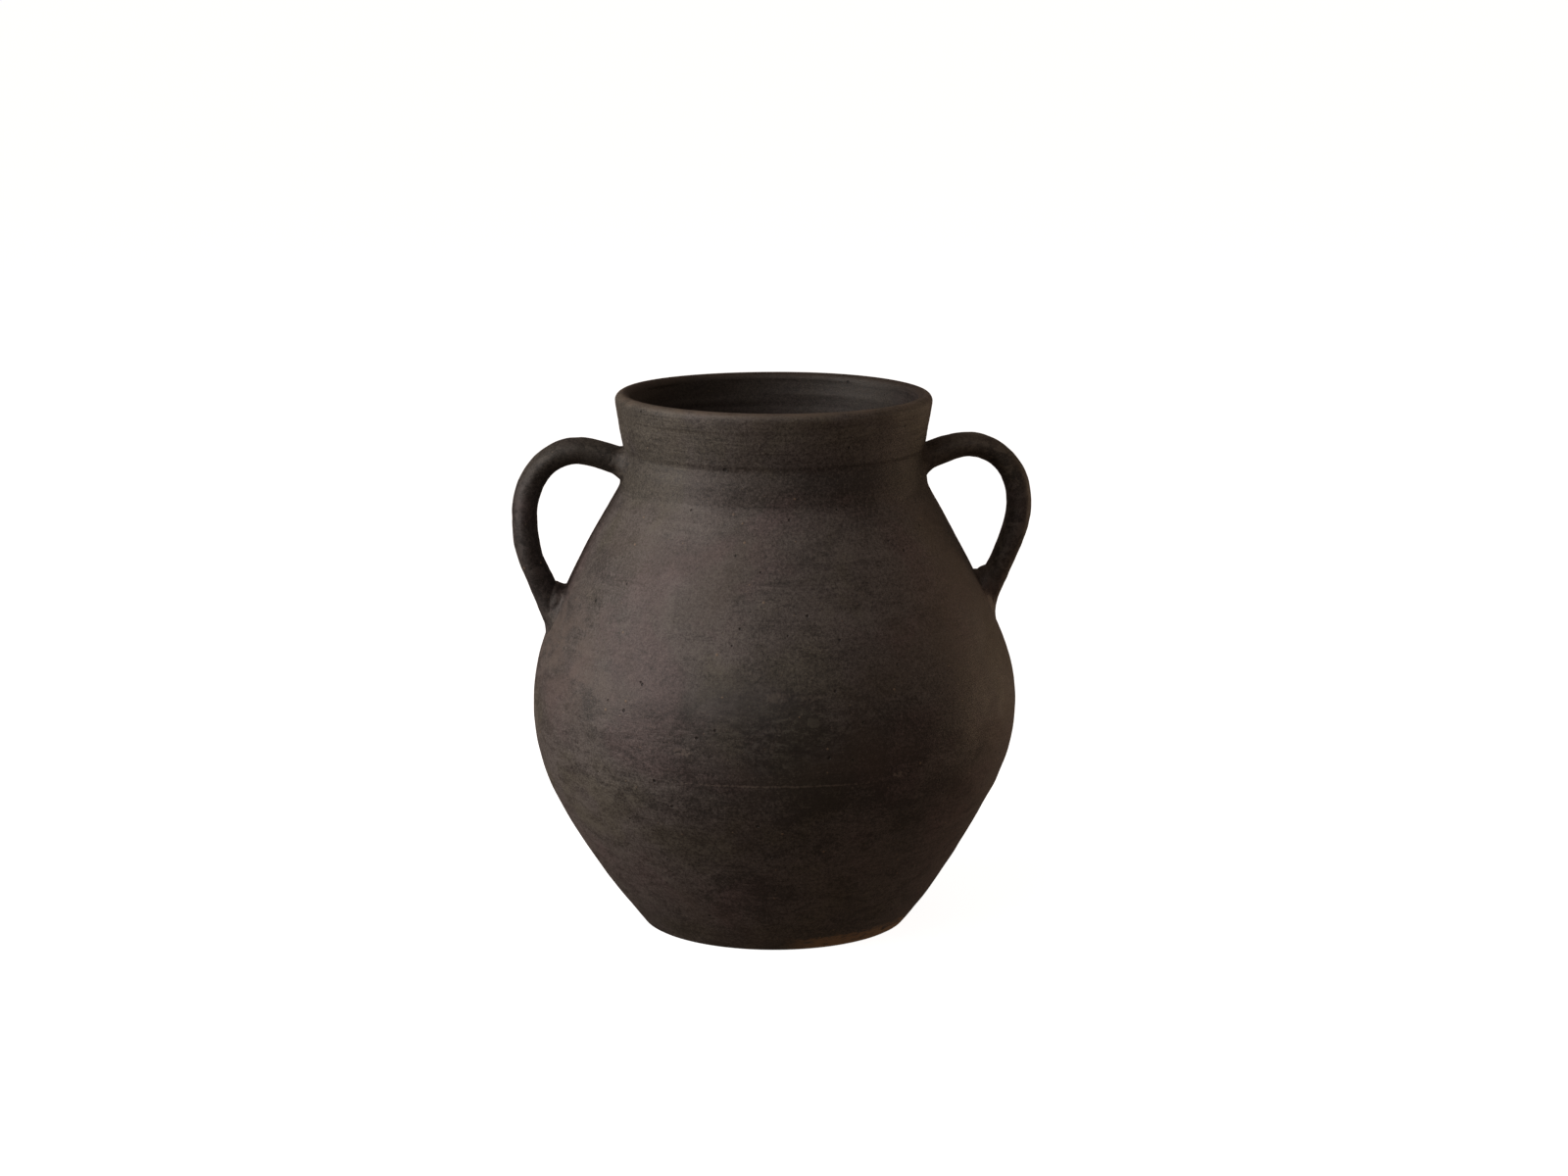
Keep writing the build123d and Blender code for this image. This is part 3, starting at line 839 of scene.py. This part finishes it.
def painted_joint_and_crease_shade(n, tone):
    """Painted shade round where the handles meet the wall, in the two creases of the neck and below the
    collar, darker to the right.
    """
    side = n.math("ABSOLUTE", n.x)
    # painted shade round the upper and lower handle joints, patchy
    handle_end_shade = n.add(n.gauss((side, 0.084, 0.012), (n.y, 0.0, 0.034), (n.z, 0.257, 0.014)),
                 n.gauss((side, 0.119, 0.012), (n.y, 0.0, 0.028), (n.z, 0.180, 0.024)))
    tone = n.sub(tone, n.mul(handle_end_shade, n.ramp(n.mottle, 0.35, 0.60, 0.20, 0.42)))
    # painted shade in the two neck creases
    creases = n.add(n.gauss((n.z, 0.2485, 0.0032)), n.gauss((n.z, 0.2688, 0.0018)))
    tone = n.sub(tone, n.mul(creases, n.ramp(n.mottle, 0.42, 0.62, 0.02, 0.26)))
    # painted shade below the collar on the front, growing darker to the right
    below_collar_shade = n.mul(n.gauss((n.z, 0.262, 0.011)), n.ramp(n.x, -0.080, 0.060, 0.14, 0.62))
    return n.sub(tone, n.mul(below_collar_shade, n.front(0.0, -0.03)))


def painted_light_and_shade(n, tone):
    """Painted shade darkening the right flank, and two painted highlights as paler parts on the front of the
    shoulder.
    """
    # painted shade: the right of the shoulder darkened
    tone = n.sub(tone, n.mul(n.gauss((n.x, 0.100, 0.026), (n.z, 0.205, 0.030)), 0.34))
    # painted highlights: two paler patches on the front of the shoulder
    middle = n.gauss((n.x, 0.034, 0.040), (n.z, 0.195, 0.040))
    tone = n.add(tone, n.mul(middle, n.ramp(n.y, 0.0, -0.05, 0.0, 0.20)))
    band = n.gauss((n.x, -0.036, 0.018), (n.z, 0.190, 0.045))
    return n.add(tone, n.mul(band, n.ramp(n.y, 0.0, -0.05, 0.0, 0.22)))


def smoke_and_painted_edge_light(n, tone):
    """The front took most smoke, with a torn black patch; the lower left is paler, the right edge of the
    lower belly has a painted highlight, and the foot is darker towards the bottom.
    """
    # paler towards the lower left
    tone = n.add(tone, n.mul(n.gauss((n.x, -0.108, 0.040), (n.z, 0.072, 0.055)), 0.46))
    smoke = n.mul(n.gauss((n.x, 0.020, 0.062), (n.z, 0.122, 0.044)), n.front(0.0, -0.05))
    smoke = n.mul(smoke, n.ramp(n.noise(n.place, 28.0, 3.0, 0.6, 0.5), 0.3, 0.62, 0.5, 1.0))
    tone = n.sub(tone, n.mul(smoke, 0.70))
    core = n.mul(n.gauss((n.x, -0.010, 0.034), (n.z, 0.148, 0.015)), n.front(-0.03, -0.06))
    torn = n.noise(n.scaled(1, 1, 1.6, shift=(1, 1, 4)), 60.0, 6.0, 0.72, 1.0)
    edge = n.mul(core, n.ramp(torn, 0.30, 0.70, 0.2, 1.8))
    tone = n.sub(tone, n.ramp(edge, 0.46, 0.50, 0.0, 0.38))
    tone = n.sub(tone, n.mul(core, 0.12))
    # painted highlight along the right edge of the lower belly
    tone = n.add(tone, n.mul(n.gauss((n.x, 0.132, 0.030), (n.z, 0.100, 0.045)), 0.90))
    # darker towards the bottom of the foot
    return n.sub(tone, n.ramp(n.z, 0.030, 0.004, 0.0, 0.26))


def rubbed(n, tone, spots):
    """Rubbed pale patches and dark thumb marks on the straps and the pads."""
    rub = n.ramp(n.noise(n.scaled(1, 1, 1, shift=(8, 4, 3)), 110.0, 5.0, 0.74, 0.9), 0.52, 0.57)
    tone = n.add(tone, n.mul(rub, 0.40 + 0.60 * spots))
    thumb = n.ramp(n.noise(n.scaled(1, 1, 1, shift=(2, 9, 6)), 60.0, 4.0, 0.66, 0.6), 0.51, 0.56)
    return n.sub(tone, n.mul(thumb, 0.32))


def clay_tone(n, body, spots):
    """How pale the clay is, from 0 for smoke-black to 1 for bare, with painted shade and painted highlights
    among the body's layers.
    """
    tone = n.level(n.cloud, 0.28, 0.72, 0.34, 0.62)
    tone = n.add(tone, n.swing(n.mottle, 0.19, 0.25, 0.75))
    tone = n.add(tone, n.swing(n.grit, 0.34))
    tone = n.add(tone, n.swing(n.grain, 0.28))
    if not body:
        return rubbed(n, tone, spots)
    # some of these layers paint shade and highlights into the tone
    for layer in (turned, scraped, smudged, scratched, wiped, dragged, gouged, painted_joint_and_crease_shade, painted_light_and_shade, smoke_and_painted_edge_light):
        tone = layer(n, tone)
    return tone


def clay_colour(n, tone, tint):
    """Colour from the tone, with a grain that shows most where the clay is at its blackest."""
    dark, mid, pale = (tuple(bright * c * t for c, t in zip(shade, tint)) for bright, shade in CLAY_STEPS)
    colour = n.mix(n.level(tone, 0.0, 0.5, 0, 1), dark, mid)
    colour = n.mix(n.level(tone, 0.5, 1.0, 0, 1), colour, pale)
    texture = n.mul(n.level(n.grain, 0.3, 0.7, 0.66, 1.36), n.level(n.grit, 0.3, 0.7, 0.78, 1.26))
    return n.mix(n.ramp(tone, 0.05, 0.75, 1.0, 0.34), colour, texture, "MULTIPLY")


def torn_patch(n, colour):
    """Pale flecks and dark tears in and round the black patch on the front."""
    where = n.mul(n.gauss((n.x, -0.010, 0.050), (n.z, 0.140, 0.022)), n.front(-0.03, -0.06))
    fleck = n.ramp(n.noise(n.scaled(1, 1, 2.0, shift=(2, 2, 7)), 150.0, 4.0, 0.72, 0.6), 0.54, 0.57)
    colour = n.mix(n.mul(fleck, where, 0.80), colour, FLECK)
    tear = n.ramp(n.noise(n.scaled(1, 1, 2.6, shift=(9, 1, 3)), 85.0, 5.0, 0.74, 1.0), 0.54, 0.57)
    return n.mix(n.mul(tear, where, 0.85), colour, (0.50, 0.50, 0.50), "MULTIPLY")


def hues(n, colour):
    """Olive on the neck and the smoky front, purple on the left and the lower right, brown in patches."""
    hue = n.noise(n.scaled(1, 1, 1.1, shift=(4, 6, 1)), 20.0, 3.0, 0.55, 0.4)
    hue = n.sub(hue, n.ramp(n.z, 0.236, 0.262, 0.0, 0.10))
    hue = n.sub(hue, n.mul(n.gauss((n.x, 0.000, 0.036), (n.z, 0.130, 0.040)), 0.22))
    hue = n.add(hue, n.mul(n.gauss((n.x, 0.070, 0.040), (n.z, 0.125, 0.050)), 0.14))
    hue = n.add(hue, n.mul(n.gauss((n.x, -0.070, 0.050), (n.z, 0.150, 0.070)), 0.07))
    colour = n.mix(n.ramp(hue, 0.50, 0.68, 0.0, 0.75), colour, (1.10, 0.94, 1.01), "MULTIPLY")
    colour = n.mix(n.ramp(hue, 0.50, 0.34, 0.0, 0.75), colour, (0.97, 1.00, 0.84), "MULTIPLY")
    brown = n.noise(n.scaled(1, 1, 1.1, shift=(9, 2, 4)), 14.0, 3.0, 0.5, 0.3)
    return n.mix(n.ramp(brown, 0.48, 0.75, 0.0, 0.45), colour, EARTH)


def flush_and_sheen(n, colour):
    """A warm flush below the left handle and a cool grey sheen above the black patch."""
    flush = n.gauss((n.x, -0.118, 0.026), (n.z, 0.165, 0.034))
    colour = n.mix(n.mul(flush, n.ramp(n.mottle, 0.40, 0.56, 0.05, 0.55)), colour, FLUSH)
    sheen = n.mul(n.gauss((n.x, -0.030, 0.030), (n.z, 0.152, 0.012)), n.front(-0.03, -0.06))
    return n.mix(n.mul(sheen, 0.45), colour, SHEEN)


def pits_and_specks(n, colour, spots):
    """Pale crumbs, tan specks and black pits. The pits and specks are kept for the relief."""
    n.pits = n.spots(85.0, 0.095, 0.90, 1.0)
    n.specks = n.spots(120.0, 0.100, 0.30 + 0.55 * spots, 2.0)
    crumbs = n.spots(330.0, 0.16, 0.30 + 0.35 * spots, 3.0)
    colour = n.mix(n.mul(crumbs, 0.50), colour, CRUMB)
    colour = n.mix(n.mul(n.specks, 0.75), colour, SPECK)
    return n.mix(n.mul(n.pits, 0.85), colour, PIT)


def scuffs(n, colour):
    """The few pale scuffs placed one by one, with ragged edges."""
    for x, z, wide, tall, strength in MARKS:
        patch = n.mul(n.gauss((n.x, x, wide), (n.z, z, tall)), n.front(-0.03, -0.06))
        scuff = n.ramp(n.mul(patch, n.level(n.grain, 0.38, 0.60, 0.35, 1.5)), 0.30, 0.62)
        colour = n.mix(n.mul(scuff, strength), colour, SCUFF)
    return colour


def foot_and_lip(n, colour):
    """Ochre earth rubbed on to the front right of the foot, and a patchy painted highlight on the top of the
    lip.
    """
    torn = n.noise(n.scaled(1, 1, 3), 90.0, 5.0, 0.75)
    height = n.add(n.z, n.swing(torn, 0.006))
    ochre = n.mul(n.ramp(height, 0.0085, 0.0060), n.ramp(n.x, -0.005, 0.020), n.front(0.0, -0.02))
    ochre = n.mul(ochre, n.ramp(torn, 0.38, 0.48, 0.25, 1.0))
    colour = n.mix(n.mul(ochre, 0.9), colour, OCHRE)
    # painted highlight on the top of the lip, patchy
    lip = n.mul(n.ramp(n.z, 0.2965, 0.2995), n.ramp(n.mottle, 0.35, 0.6, 0.2, 0.8))
    return n.mix(lip, colour, LIP_HIGHLIGHT)


def inside_of_wall(n):
    """1 on the inner skin of the body and 0 on the outer skin."""
    reach = n.math("SQRT", n.add(n.mul(n.x, n.x), n.mul(n.y, n.y)))
    top = RIM_HEIGHT * MM
    heights = np.linspace(0, top, 31)
    middle = (outer_radius(heights / MM) - WALL / 2) * MM
    curve = n.tree.nodes.new("ShaderNodeFloatCurve")
    line = curve.mapping.curves[0]
    line.points[0].location = (0, middle[0])
    line.points[1].location = (1, middle[-1])
    for h, m in zip(heights[1:-1], middle[1:-1]):
        line.points.new(h / top, m)
    curve.mapping.update()
    n.put(curve.inputs["Value"], n.math("DIVIDE", n.z, top))
    return n.ramp(n.sub(reach, curve.outputs[0]), 0.0015, -0.0015)


def dark_inside(n, colour):
    """The inside is darkened most below the mouth and a little less towards the floor."""
    deep = n.mul(inside_of_wall(n), n.ramp(n.z, 0.09, 0.25, 0.45, 0.92))
    return n.mix(deep, colour, (0.24, 0.21, 0.20), "MULTIPLY")


def relief(n, body):
    """Height of the fine surface in metres."""
    height = n.mul(n.grain, 0.00020)
    height = n.math("MULTIPLY_ADD", n.grit, 0.00010, height)
    height = n.math("MULTIPLY_ADD", n.mottle, 0.00035, height)
    if body:
        height = n.add(height, n.mul(n.streak, n.showing, 0.00009))
        height = n.math("MULTIPLY_ADD", n.fine_streak, 0.00004, height)
        height = n.add(height, n.mul(n.slant, n.lower, 0.00030))
    height = n.math("MULTIPLY_ADD", n.pits, -0.0006, height)
    return n.math("MULTIPLY_ADD", n.specks, 0.00015, height)


def clay(name, tint=(1.0, 1.0, 1.0), body=True, spots=0.5):
    """Matte smoke-blackened clay, for the body or for the straps and pads, with spots as its specks."""
    n = Nodes(name)
    base_noises(n)
    if body:
        body_noises(n)
    colour = clay_colour(n, clay_tone(n, body, spots), tint)
    if body:
        colour = torn_patch(n, colour)
    colour = hues(n, colour)
    if body:
        colour = flush_and_sheen(n, colour)
    colour = pits_and_specks(n, colour, spots)
    if body:
        colour = dark_inside(n, foot_and_lip(n, scuffs(n, colour)))
    n.put(n.bsdf.inputs["Base Color"], colour)
    rough = n.add(n.level(n.mottle, 0.2, 0.8, 0.52, 0.70), n.swing(n.grain, 0.05))
    n.put(n.bsdf.inputs["Roughness"], rough)
    n.bsdf.inputs["Specular IOR Level"].default_value = 0.5
    bump_node = n.tree.nodes.new("ShaderNodeBump")
    bump_node.inputs["Strength"].default_value = 1.0
    bump_node.inputs["Distance"].default_value = 1.0
    n.put(bump_node.inputs["Height"], relief(n, body))
    n.tree.links.new(bump_node.outputs[0], n.bsdf.inputs["Normal"])
    return n.mat


# ---------------------------------------------------------------- put it together

def place(obj, node, mat):
    obj.data.materials.append(mat)
    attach(obj, "root")
    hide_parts(node)


make_camera()
make_lights()
make_world()
make_floor()

body_clay = clay("body_clay_look")
strap_clay = clay("strap_clay_look", (0.44, 0.43, 0.44), body=False, spots=0.4)
right_strap_clay = clay("right_strap_clay_look", (0.66, 0.63, 0.61), body=False, spots=1.0)
pad_clay = clay("pad_clay_look", (0.60, 0.57, 0.57), body=False)

place(make_base(), "base_disc", body_clay)
place(make_bowl(), "lower_bowl", body_clay)
place(make_shoulder(), "shoulder_wall", body_clay)
place(make_band(), "neck_band", body_clay)
place(make_collar(), "rim_collar", body_clay)
place(make_handle("left_strap_clay", LEFT), "left_handle", strap_clay)
place(make_handle("right_strap_clay", RIGHT), "right_handle", right_strap_clay)
for name, node, side, seed, foot, strap_end, grooves in PADS:
    place(make_luting(name, side, seed, foot, strap_end, grooves), node, pad_clay)
